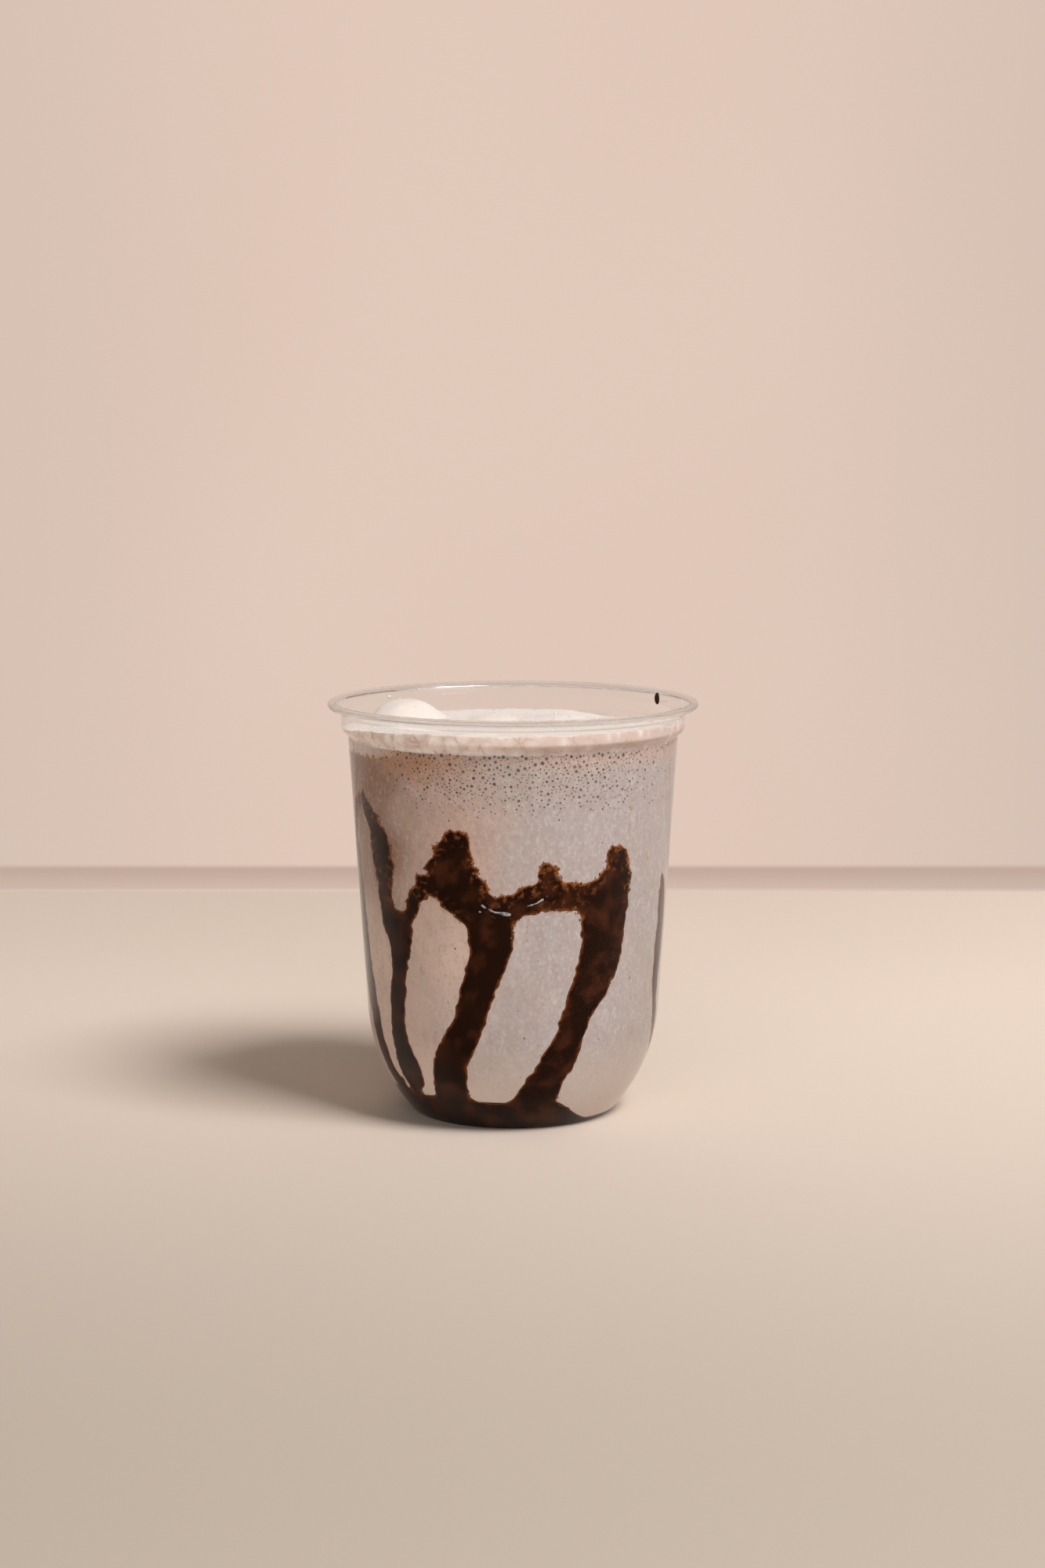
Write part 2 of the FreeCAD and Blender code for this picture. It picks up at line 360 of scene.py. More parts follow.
def pool_edge(turn):
    """The height at which the pool's top meets the wall, found by going back and forth
    between the wall's radius there and the pool's height at that radius."""
    height = np.full_like(turn, pool_deep)
    for _ in range(SEARCH_TURNS):
        height = 0.5 * height + 0.5 * pool_height(wall_radius(height) * np.sin(turn))
    return height


def pool_top(turn, reach, rows):
    """The top of the pool as rings of points, from the axis out to the wall."""
    edge = pool_edge(turn)
    share = np.linspace(0, 1, rows)[:, None]
    radius = share * (wall_radius(edge) + reach)
    height = pool_height(radius * np.sin(turn))
    height = height + share ** 6 * (edge - height)
    return around(radius, height, turn)


def wall_rings(turn, low, high, reach, rows):
    """Rings of points on the wall, between two heights that may change round the cup."""
    share = np.linspace(0, 1, rows)[:, None]
    run = run_at(low) + share * (run_at(high) - run_at(low))
    radius, height = wall_point(run)
    return around(radius + reach, height, turn)


print("pool from", round(pool_film, 2), "to", round(pool_deep, 2), "mm high")

# %% Make the syrup pool
DRINK_COLUMNS = 360
POOL_ROWS = 24
BASE_REACH = 0.05
turn = all_round(DRINK_COLUMNS)
foot = base_line(WALL)
under = around(foot[:, :1], foot[:, 1:] - BASE_REACH, turn[None, :])
rings = wall_rings(turn, np.full_like(turn, WALL), pool_edge(turn), POOL_REACH, POOL_ROWS)
surface = np.concatenate([under, rings, pool_top(turn, POOL_REACH, POOL_ROWS)[::-1]])
pool = build("syrup_pool_body", surface, grid_faces(len(surface), DRINK_COLUMNS))
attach(pool, "root")
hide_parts("syrup_pool")

# %% Make the milkshake
SIDE_ROWS = 110
LID_ROWS = 12
STAIN_TURN, STAIN_HEIGHT = -38, 95.0
STAIN_HALF_WIDTH, STAIN_HALF_HEIGHT = 32, 8.5
BROWNEST_TURN = -100
level = np.full_like(turn, SHAKE_LEVEL)
sides = wall_rings(turn, pool_edge(turn), level, MILK_REACH, SIDE_ROWS)
spokes = np.linspace(1, 0, LID_ROWS)[1:, None]
lid = around(spokes * (wall_radius(SHAKE_LEVEL) + MILK_REACH), SHAKE_LEVEL, turn[None, :])
surface = np.concatenate([pool_top(turn, MILK_REACH, POOL_ROWS), sides[1:], lid])

# The stain is an uneven oval, and the browning is strongest at one side, the left, and near
# the top. At the left it is partly syrup and partly painted shade on the side turned from the
# lamps.
side_turn = np.degrees(np.arctan2(surface[..., 0], -surface[..., 1]))
side_height = surface[..., 2]
stain_across = (side_turn - STAIN_TURN) / STAIN_HALF_WIDTH
stain_up = (side_height - STAIN_HEIGHT) / STAIN_HALF_HEIGHT
stain = smooth_step(-np.hypot(stain_across, stain_up), -1, -0.1)
stain = stain * (0.8 + 0.45 * lumps(surface, 2.2, 6))
browner = smooth_step(np.cos(np.radians(side_turn - BROWNEST_TURN)), -0.6, 0.9)
browner = browner * (0.6 + 0.4 * smooth_step(side_height, 40, 68))
under_froth = 0.4 * smooth_step(side_height, 90, 97)
tint = np.clip(np.maximum(browner, under_froth) + 0.15 * lumps(surface, 9, 7), 0, 1)
tones = {"stain": np.clip(stain, 0, 1), "tint": tint}
faces = grid_faces(len(surface), DRINK_COLUMNS)
milkshake = build("milkshake_body", surface, faces, tones)
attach(milkshake, "root")
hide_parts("milkshake")

# %% [markdown]
# ## The froth
# The froth is low in the middle and climbs the collar, with a few mounds on it. It could be
# sculpted by hand, but its height over the drink is one function of place: a ring, the
# mounds, and lumps of two sizes. That can be asked anywhere, and later the bubbles on top
# ask it where to sit. The grid goes on down the wall and back under, so the piece is closed.

# %% The height of the froth
FOAM_DEPTH = 7.4
CREST_DEPTH = 4.1
CREST_WIDTH = 7.0
CREST_DIRECTION = math.radians(-75)
CREST_FALL = (40.0, -25.0)
FOAM_LEVEL = CUP_HEIGHT - FOAM_DEPTH
# Distance from the axis, direction from +X, width and height of each mound or dip.
MOUNDS = [(38.5, 137, 21, 4.6), (22, 104, 13, 1.0), (27, 62, 15, 0.8), (14, 230, 12, 0.9)]
DIPS = [(41, 52, 24, 0.9)]


def caps(x, y, places, spot):
    """The highest of some round caps: height * (1 - (2 * distance / width)^2), and lumps."""
    highest = np.zeros_like(x)
    for distance, direction, width, height in places:
        way = math.radians(direction)
        away = np.hypot(x - distance * math.cos(way), y - distance * math.sin(way))
        cap = height * np.clip(1 - (2 * away / width) ** 2, 0, None)
        highest = np.maximum(highest, cap * (1 + 0.06 * lumps(spot, 4, 2)))
    return highest


def foam_height(x, y):
    """Crest by the wall, which falls from front to back, and the mounds less the dips."""
    radius = np.hypot(x, y)
    edge = collar - WALL
    spot = np.stack([x, y, 0 * x], -1)
    forward = x * math.cos(CREST_DIRECTION) + y * math.sin(CREST_DIRECTION)
    crest = (FOAM_DEPTH - CREST_DEPTH) * smooth_step(forward, CREST_FALL[1], CREST_FALL[0])
    crest = crest * (1 + 0.12 * lumps(spot, 6, 1)) + 0.12 * lumps(spot, 3, 5)
    ring = crest * smooth_step(radius, edge - CREST_WIDTH, edge - 0.4)
    raised = np.maximum(ring, caps(x, y, MOUNDS, spot))
    fine = 0.05 * lumps(spot, 1.6, 3) + 0.16 * lumps(spot, 5, 4)
    return FOAM_LEVEL + raised - caps(x, y, DIPS, spot) + fine


print("froth in the middle", round(float(foam_height(0.0, 0.0)), 2), "mm high")

# %% Make the foam head
FOAM_COLUMNS = 420
TOP_ROWS = 90
WALL_ROWS = 24
UNDER_ROWS = 8
FOAM_REACH = 0.1
UNDERLAP = 0.3
UNDER_INSET = 0.5
foam_turn = all_round(FOAM_COLUMNS)
share = np.linspace(0, 1, TOP_ROWS)[:, None]
radius = share * (collar - WALL + MILK_REACH)
x, y = radius * np.sin(foam_turn), -radius * np.cos(foam_turn)
top = np.stack([x, y, foam_height(x, y)], -1)
foam_foot = SHAKE_LEVEL - UNDERLAP
height = foam_foot + np.linspace(1, 0, WALL_ROWS)[1:, None] * (top[-1, :, 2] - foam_foot)
rings = around(wall_radius(height) + FOAM_REACH, height, foam_turn)
spokes = np.linspace(1, 0, UNDER_ROWS)[1:, None]
under_radius = wall_radius(SHAKE_LEVEL) - UNDER_INSET
under = around(spokes * under_radius, foam_foot, foam_turn[None, :])
surface = np.concatenate([top, rings, under])

# The band is 1 where the froth is pressed against the plastic, and 0 on top.
band = np.ones(surface.shape[:2])
band[:len(top)] = smooth_step(share, 0.975, 0.998)
band = band * smooth_step(-surface[..., 2], -102.8, -101.9)
faces = grid_faces(len(surface), FOAM_COLUMNS)
foam = build("foam_head_body", surface, faces, {"band": band}, sharp=80)
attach(foam, "root")
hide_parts("foam_head")

# %% [markdown]
# ## The syrup on the wall
# Syrup poured round the inside of an empty cup runs down in limbs that join in arches and
# end in the pool. Each limb is a short list of stations: direction round the cup, height and
# half width. Bevelled curves would make separate tubes that only overlap.
# Instead a field over the wall says how far inside a limb each point lies, and where limbs
# meet, their fields blend, which gives the webs between them. The film stands out of the
# milk where the field is positive, so its outline is where the two surfaces cross, and the
# field is kept with the mesh to tint the thin edges.

# %% The limbs of syrup
LIMBS = [
    # left edge of the front
    [(-70, 83, 1.6), (-76, 79, 2.2), (-79, 72, 2.9), (-79, 60, 4.2), (-78, 47, 5.0),
     (-75, 37, 4.6), (-70, 29, 3.4), (-67, 20, 3.0), (-65, 13, 3.2), (-60, 7, 4.0)],
    [(-66, 84, 1.2), (-62, 80, 2.7), (-57, 75, 3.8), (-54, 68, 4.6), (-54, 60, 3.3),
     (-52, 54, 3.5), (-47, 50.5, 4.9), (-47.5, 43, 3.1), (-49.5, 35, 3.2), (-50.5, 24.5, 3.1),
     (-48.3, 15, 4.4), (-49.5, 10.3, 2.6)],
    # the two arches in the middle
    [(-24, 66, 4.0), (-32, 64, 3.2), (-37.5, 61, 2.4), (-40, 57, 2.2), (-45, 52.5, 3.0)],
    [(-20, 74.5, 4.2), (-21.5, 70, 6.0), (-21, 65.5, 7.0), (-16, 61, 6.0), (-11, 57, 5.2),
     (-8, 52.5, 6.0), (-9, 46, 5.0), (-13, 38, 4.5), (-17, 29.5, 4.2), (-21, 24, 4.3),
     (-26, 18, 4.8), (-29, 8, 5.2)],
    [(-7, 56, 4.0), (2, 59.8, 3.6), (10, 61.5, 3.6), (20, 61.8, 3.8), (30, 60.5, 4.4)],
    [(12, 63, 3.4), (12.5, 68.5, 2.6)],
    [(41, 70.5, 3.6), (41, 66.5, 4.3), (37.5, 61, 7.0), (36, 55.5, 7.2), (35.8, 50, 6.6),
     (34, 44, 6.3), (30.5, 38, 5.5), (26, 32.5, 4.4), (22.5, 26, 3.9), (19, 20, 4.7),
     (13.5, 14, 4.6), (9, 7, 6.0)],
    # right edge of the front
    [(72, 62, 1.2), (74, 57, 3.0), (74.5, 48, 3.4), (73.5, 42, 3.2), (73, 34, 2.4),
     (75.5, 25, 2.0), (78, 20, 2.0), (81, 16, 1.1)],
    # the back, in the same manner
    [(118, 71, 3.4), (121, 63, 5.6), (117, 53, 5.0), (112, 42, 3.9), (109, 30, 3.5),
     (112, 18, 3.8), (116, 9, 3.0)],
    [(122, 60, 4.4), (130, 66, 3.4), (139, 68, 3.1), (148, 65, 3.8)],
    [(152, 78, 2.8), (150, 70, 5.2), (153, 60, 6.4), (158, 50, 5.6), (163, 38, 4.6),
     (166, 26, 4.1), (162, 15, 4.6), (157, 6, 5.6)],
    [(158, 59, 4.0), (169, 62.5, 3.2), (180, 61.5, 3.0), (191, 57, 4.2)],
    [(196, 75, 2.4), (193, 66, 4.4), (190, 56, 4.4), (194, 44, 3.5), (199, 30, 3.2),
     (203, 18, 3.9), (201, 7, 5.2)],
    [(233, 80, 1.8), (237, 70, 3.6), (234, 58, 3.4), (228, 46, 4.2), (226, 33, 3.5),
     (229, 20, 3.4), (234, 8, 3.4)],
    [(259, 67, 1.4), (256, 58, 2.8), (258, 46, 3.0), (262, 34, 2.4), (261, 24, 1.6)],
]
print(len(LIMBS), "limbs of syrup")


# %% How far inside a limb a place lies
PIECES_PER_GAP = 5
FAR_OUTSIDE = -99.0
SIDE_MARGIN = 0.5


def smooth_path(stations):
    """A Catmull-Rom curve through the stations: in each gap a cubic in t whose direction at
    a station is half the step from the one before it to the one after it."""
    spots = np.array(stations, float)
    before = np.concatenate([2 * spots[:1] - spots[1:2], spots, 2 * spots[-1:] - spots[-2:-1]])
    p0, p1, p2, p3 = before[:-3], before[1:-2], before[2:-1], before[3:]
    t = np.linspace(0, 1, PIECES_PER_GAP, endpoint=False)[:, None, None]
    curve = p1 + t / 2 * (p2 - p0) + t ** 2 * (p0 - 2.5 * p1 + 2 * p2 - p3 / 2)
    curve = curve + t ** 3 * (1.5 * (p1 - p2) + (p3 - p0) / 2)
    return np.concatenate([curve.transpose(1, 0, 2).reshape(-1, 3), spots[-1:]])


def blend(a, b, width):
    """The larger of two fields, with a fillet where they are nearly equal: plus the
    square of how much width exceeds their difference, over four widths."""
    return np.maximum(a, b) + np.clip(width - np.abs(a - b), 0, None) ** 2 / (4 * width)


def limb_field(stations, turn, run, radius):
    """How far inside a limb each point of the wall lies, in millimetres.

    Each gap between two places on the path is a straight piece with round ends. The
    field is its half width there less the distance to its middle line. Directions are
    counted from the limb's own mean, so that none of them jumps by a full turn."""
    path = smooth_path(stations)
    way, along, half = np.radians(path[:, 0]), run_at(path[:, 1]), path[:, 2]
    field = np.full(turn.shape, FAR_OUTSIDE)
    middle = np.radians(np.mean([station[0] for station in stations]))
    turn = middle + (turn - middle + np.pi) % (2 * np.pi) - np.pi
    near = (turn > way.min() - SIDE_MARGIN) & (turn < way.max() + SIDE_MARGIN)
    turn, run, radius = turn[near], run[near], radius[near]
    best = np.full(turn.shape, FAR_OUTSIDE)
    for k in range(len(path) - 1):
        ex, ey = (way[k + 1] - way[k]) * radius, along[k + 1] - along[k]
        px, py = (turn - way[k]) * radius, run - along[k]
        t = np.clip((px * ex + py * ey) / (ex ** 2 + ey ** 2 + 1e-9), 0, 1)
        gap = np.hypot(px - t * ex, py - t * ey)
        best = np.maximum(best, half[k] + t * (half[k + 1] - half[k]) - gap)
    field[near] = best
    return field


print("each gap between stations is", PIECES_PER_GAP, "straight pieces")

# %% A fine grid on the inside of the wall
FILM_COLUMNS = 760
FILM_PITCH = 0.36
FOOT_OF_FILM = 0.3
TOP_OF_FILM = 88.0
film_run = np.arange(FOOT_OF_FILM, run_at(TOP_OF_FILM), FILM_PITCH)
turn_grid, run_grid = np.meshgrid(all_round(FILM_COLUMNS), film_run)
radius_grid, height_grid = wall_point(run_grid)
spots = around(radius_grid, height_grid, turn_grid)
print("wall grid", turn_grid.shape)

# %% A film on the inside of the wall
BACKING_DEPTH = 0.8


def wall_film(name, field, sunk, proud, edge, side=0):
    """A sheet that lies sunk where the field is below -edge and proud where it is above
    edge, kept only near where it shows. Side 1 is the front half of the cup alone, side
    -1 the back half. A Solidify modifier gives it a back and closes its sides."""
    rise = smooth_step(field, -edge, edge)
    swell = 0.03 * lumps(spots, 4, 13) * smooth_step(field, 0.3, 1.5)
    reach = sunk + rise * (proud - sunk) + swell
    points = around(radius_grid + reach, height_grid, turn_grid).reshape(-1, 3)
    faces = grid_faces(*field.shape)
    shown = (field.ravel()[faces] > -2 * edge).any(axis=1)
    if side:
        shown &= side * np.cos(turn_grid.ravel()[faces[:, 0]]) > 0
    faces = faces[shown]
    used, faces = np.unique(faces, return_inverse=True)
    depth = field.ravel()[used]
    sheet = build(name, points[used], faces.reshape(-1, 4), {"depth": depth}, sharp=180)
    backing = sheet.modifiers.new("backing", "SOLIDIFY")
    backing.thickness = BACKING_DEPTH * MM
    backing.offset = -1
    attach(sheet, "root")
    return sheet


print("films are backed by", BACKING_DEPTH, "mm")

# %% Make the film of syrup
# It is cut in two at the sides, because one mesh would have too many triangles.
FILM_BLEND = 2.2
FILM_SUNK, FILM_PROUD, FILM_EDGE = -0.30, 0.24, 0.4
field = run_at(pool_edge(turn_grid[0]))[None, :] - run_grid
for limb in LIMBS:
    field = blend(field, limb_field(limb, turn_grid, run_grid, radius_grid), FILM_BLEND)
ragged = 0.75 + 0.65 * smooth_step(height_grid, 54, 64)
ragged = ragged * (0.45 * lumps(spots, 3.0, 11) + 0.5 * lumps(spots, 1.4, 12))
ragged = ragged + (0.08 + 0.2 * smooth_step(height_grid, 48, 60)) * lumps(spots, 0.8, 14)
syrup_field = field + ragged
films = []
for name, side in (("syrup_film_front", 1), ("syrup_film_back", -1)):
    films.append(wall_film(name, syrup_field, FILM_SUNK, FILM_PROUD, FILM_EDGE, side))

# %% [markdown]
# ## Wisps of milk over the syrup
# Where the arches meet, a little pale milk has run between the syrup and the plastic. It
# could be painted on the syrup, but it is a layer of its own, with its own ragged outline.
# So it is made like the syrup, from short thin limbs, and lies just outside it.

# %% Make the wisps
WISPS = [
    [(-12, 60.2, 0.1), (-8, 58.6, 0.4), (-4, 57.8, 0.8), (-1, 57.6, 0.4), (1, 57.4, 0.1)],
    [(-5, 59.6, 0.1), (-2, 59, 0.2), (0, 60.2, 0.1)],
    [(-14, 58.6, 0.1), (-9, 57.4, 0.3), (-5, 56.4, 0.15)],
    [(5, 59.6, 0.1), (8, 60.2, 0.3), (11, 61.2, 0.25), (14, 63, 0.1)],
    [(172, 63.6, 0.2), (177, 62, 0.7), (183, 62.4, 0.3)],
]
WISP_BLEND = 0.6
WISP_SUNK, WISP_PROUD, WISP_EDGE = 0.10, 0.31, 0.3
field = np.full(turn_grid.shape, -9.0)
for wisp in WISPS:
    field = blend(field, limb_field(wisp, turn_grid, run_grid, radius_grid), WISP_BLEND)
field += 0.45 * lumps(spots, 0.9, 21) - 0.1
wisps = wall_film("milk_wisps", field, WISP_SUNK, WISP_PROUD, WISP_EDGE)

# %% [markdown]
# ## Bubbles and crumbs against the plastic
# Bubbles rise and rest against the wall under the froth. Seen from outside each is a dark
# round window with a light rim, painted as shade in the middle and as a highlight at the rim.
# Crumbs of cookie are darker flecks with ragged edges.
# Geometry nodes could scatter copies of one bubble. Here hundreds of small closed bodies
# make one mesh, each a few rings of points about a place on the wall, all worked out at
# once, so that every crumb can have its own outline. The grains of syrup, the drop and the
# splashes on the collar are made in the same way.

# %% Small bodies on the wall
def many_faces(count, rings, spokes):
    """The faces of many small closed grids that are numbered one after the other."""
    first = np.arange(count) * rings * spokes
    return (grid_faces(rings, spokes)[None] + first[:, None, None]).reshape(-1, 4)


def on_wall(name, spots, halves, shares, lifts, spokes, wobble, seed):
    """Rings of points: a place on the wall + half * share * (cosine along the wall,
    sine up the wall) + lift along the wall's outward direction. Spots are direction and
    height, halves are half widths and half heights, and lifts are a length and a part of
    the half width. Kept with the points are each ring's number from 0 to 1, as rim, and
    a random tone for each body. Wobble is how uneven the outlines are."""
    rng = np.random.default_rng(seed)
    way, height = np.radians(spots[:, 0]), spots[:, 1]
    tilt = np.where(height < SHAKE_LEVEL, lean, 0.0)
    shares, lifts = np.array(shares, float), np.array(lifts)
    along = np.stack([np.cos(way), np.sin(way), 0 * way], -1)
    up = np.stack([np.sin(way) * np.sin(tilt), -np.cos(way) * np.sin(tilt), np.cos(tilt)], -1)
    out = np.stack([np.sin(way) * np.cos(tilt), -np.cos(way) * np.cos(tilt), -np.sin(tilt)], -1)
    centre = around(wall_radius(height), height, way)
    angle = np.linspace(0, 2 * np.pi, spokes, endpoint=False)
    uneven = 1 + wobble * rng.uniform(-1, 1, (len(way), 1, spokes))
    width = halves[:, 0, None, None] * shares[None, :, None] * uneven * np.cos(angle)
    rise = halves[:, 1, None, None] * shares[None, :, None] * uneven * np.sin(angle)
    lift = np.minimum(halves[:, 0], 1.0)[:, None, None] * lifts[None, :, None, 1]
    lift = lift + lifts[None, :, None, 0] + 0 * width
    points = centre[:, None, None] + width[..., None] * along[:, None, None]
    points = points + rise[..., None] * up[:, None, None] + lift[..., None] * out[:, None, None]
    rim = np.broadcast_to(np.linspace(0, 1, len(shares))[None, :, None], width.shape)
    tone = np.broadcast_to(rng.uniform(0, 1, (len(way), 1, 1)), width.shape)
    faces = many_faces(len(way), len(shares), spokes)
    piece = build(name, points, faces, {"rim": rim, "tone": tone}, sharp=180)
    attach(piece, "root")
    return piece


print("small bodies lean with the wall by", BODY_LEAN, "degrees")

# %% Places at random
TRIES_PER_SPOT = 12


def spread(count, seed, low, high, size_of, likely, apart):
    """Places at random between two heights, kept with a chance given by likely, and no
    nearer to each other than their sizes and apart allow. Likely and size_of are told
    the direction or a random number, and how far down from the top the place is."""
    rng = np.random.default_rng(seed)
    spots, halves = [], []
    for _ in range(count * TRIES_PER_SPOT):
        if len(spots) == count:
            break
        way, share, size = rng.uniform(-180, 180), rng.uniform(), rng.uniform()
        height = high - (high - low) * share
        if rng.uniform() > likely(way, share):
            continue
        half = size_of(size, share)
        if spots:
            others, wide = np.array(spots), np.array(halves)
            sideways = np.radians((others[:, 0] - way + 180) % 360 - 180) * wall_radius(height)
            if (np.hypot(sideways, others[:, 1] - height) < wide + half + apart).any():
                continue
        spots.append((way, height))
        halves.append(half)
    return np.array(spots), np.array(halves)


print("each spot gets at most", TRIES_PER_SPOT, "tries")


# %% Make the bubbles
def bubble_size(size, share):
    """Half width of a bubble: mostly small, larger near the top."""
    return 0.14 + 0.36 * size ** 2.6 * (1 - 0.65 * share) + 0.08 * size * (1 - share)


def bubbly(way, share):
    """Many bubbles in front and behind, few at the sides, and fewer further down."""
    front = math.exp(-((way - 3) / 43) ** 4)
    back = math.exp(-((abs(way) - 176) / 40) ** 4)
    return (0.05 + 0.95 * max(front, 0.9 * back)) * (1 - share) ** 1.3


spots_at, half = spread(
    count=1600, seed=31, low=80.5, high=97.2, size_of=bubble_size, likely=bubbly, apart=0.24,
)
bubbles = on_wall(
    "bubbles", spots_at, np.stack([half, half], 1),
    shares=[0, 0.5, 0.8, 1.1, 1.0, 0.0],
    lifts=[(0.15, 0), (0.15, 0), (0.14, 0), (0.11, 0), (-0.1, 0), (-0.3, 0)],
    spokes=12, wobble=0.04, seed=32,
)
print("bubbles", len(half))


# %% Make the crumbs
def crumb_size(size, share):
    """Half width of a crumb: mostly specks."""
    return 0.07 + 0.20 * size ** 4


def anywhere(way, share):
    """Crumbs are as likely in one place as in another."""
    return 1.0


spots_at, half = spread(
    count=420, seed=41, low=6.0, high=97.0, size_of=crumb_size, likely=anywhere, apart=0.5,
)
crumbs = on_wall(
    "cookie_crumbs", spots_at, np.stack([half, 1.2 * half], 1),
    shares=[0, 0.7, 1.0, 0.0],
    lifts=[(0.12, 0), (0.12, 0), (-0.05, 0), (-0.2, 0)],
    spokes=7, wobble=0.35, seed=42,
)
print("crumbs", len(half))

# %% Make the grains of syrup
# They are most likely where the field is just over 0, which is the edge of the film, and
# high up, where the film is ragged.
GRAINS = 1100
rng = np.random.default_rng(71)
likely = np.exp(-((syrup_field - 0.3) / 0.35) ** 2) * radius_grid * (height_grid > 9)
likely = (likely * (0.05 + smooth_step(height_grid, 50, 62))).ravel()
picked = rng.choice(likely.size, GRAINS, replace=False, p=likely / likely.sum())
spots_at = np.stack([np.degrees(turn_grid.ravel()[picked]), height_grid.ravel()[picked]], -1)
half = 0.12 + 0.20 * rng.uniform(0, 1, GRAINS) ** 2
grains = on_wall(
    "syrup_grains", spots_at, np.stack([half, 1.1 * half], 1),
    shares=[0, 0.7, 1.0, 0.0],
    lifts=[(0.28, 0), (0.28, 0), (0.1, 0), (-0.25, 0)],
    spokes=7, wobble=0.35, seed=72,
)

# %% Make the splashes on the collar
drop = on_wall(
    "syrup_drop", np.array([(119.6, 104.3)]), np.array([(1.0, 1.6)]),
    shares=[0, 0.35, 0.7, 0.93, 1.0, 0.0],
    lifts=[(-0.65, 0), (-0.6, 0), (-0.42, 0), (-0.15, 0), (0.04, 0), (0.06, 0)],
    spokes=24, wobble=0.03, seed=51,
)
splashes = on_wall(
    "milk_splashes",
    np.array([(-131, 104.0), (94, 105.2), (-136, 103.2), (60, 103.4), (-70, 104.6), (20, 103.6)]),
    np.array([(0.7, 0.45), (0.5, 0.8), (0.3, 0.3), (0.25, 0.3), (0.3, 0.25), (0.2, 0.2)]),
    shares=[0, 0.5, 0.85, 1.0, 0.0],
    lifts=[(-0.12, -0.15), (-0.1, -0.13), (-0.05, -0.06), (0.03, 0), (0.05, 0)],
    spokes=16, wobble=0.12, seed=52,
)

# %% [markdown]
# ## Froth bubbles on top
# The top of the froth holds larger bubbles, most of them along the ring at the wall. A bump
# in the finish would leave their outline against the wall flat, so each is a small dome,
# which asks the froth's height function where to sit.

# %% Make the froth bubbles
DOMES = 420
DOME_SPOKES = 12
rng = np.random.default_rng(61)
out_share = rng.uniform(0, 1, DOMES) ** 0.38
way = rng.uniform(0, 2 * np.pi, DOMES)
half = 0.14 + 0.38 * rng.uniform(0, 1, DOMES) ** 3
from_axis = out_share * (collar - WALL - 0.2 - half)
centre_x, centre_y = from_axis * np.sin(way), -from_axis * np.cos(way)
centre_z = foam_height(centre_x, centre_y)
shares = np.array([0, 0.35, 0.65, 0.88, 1.0, 0.0])[None, :, None]
lifts = np.array([0.62, 0.58, 0.44, 0.22, -0.15, -0.3])[None, :, None]
angle = all_round(DOME_SPOKES)
half = half[:, None, None]
domes = np.stack([
    centre_x[:, None, None] + half * shares * np.cos(angle),
    centre_y[:, None, None] + half * shares * np.sin(angle),
    centre_z[:, None, None] + half * lifts + 0 * angle,
], -1)
faces = many_faces(DOMES, shares.size, DOME_SPOKES)
froth = build("froth_bubbles", domes, faces, sharp=180)
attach(froth, "root")


# %% [markdown]
# ## Finishes, written as sums
# A finish is a sum over the surface: this tone here, that one there, by how much. It could
# be wired up by hand in the shader editor, but a long sum is easier to read as a line of
# text. A small class lets it be written with + and *, and each sign adds its Math node.

# %% A number that changes over a surface
class Amount:
    """A number that changes over a surface: the output of a node, with arithmetic."""

    def __init__(self, finish, socket):
        self.finish = finish
        self.socket = socket

    def _with(self, operation, a, b):
        settings = {"operation": operation}
        return self.finish.amount("ShaderNodeMath", settings, {0: a, 1: b})

    def __add__(self, other):
        return self._with("ADD", self, other)

    def __sub__(self, other):
        return self._with("SUBTRACT", self, other)

    def __rsub__(self, other):
        return self._with("SUBTRACT", other, self)

    def __mul__(self, other):
        return self._with("MULTIPLY", self, other)

    __radd__ = __add__
    __rmul__ = __mul__

    def between(self, low, high):
        """0 where the amount is below low, 1 above high, and smooth between."""
        settings = {"interpolation_type": "SMOOTHSTEP"}
        inputs = {"Value": self, "From Min": low, "From Max": high}
        return self.finish.amount("ShaderNodeMapRange", settings, inputs)


print("an amount's reflected forms", [name for name in vars(Amount) if name[:3] == "__r"])


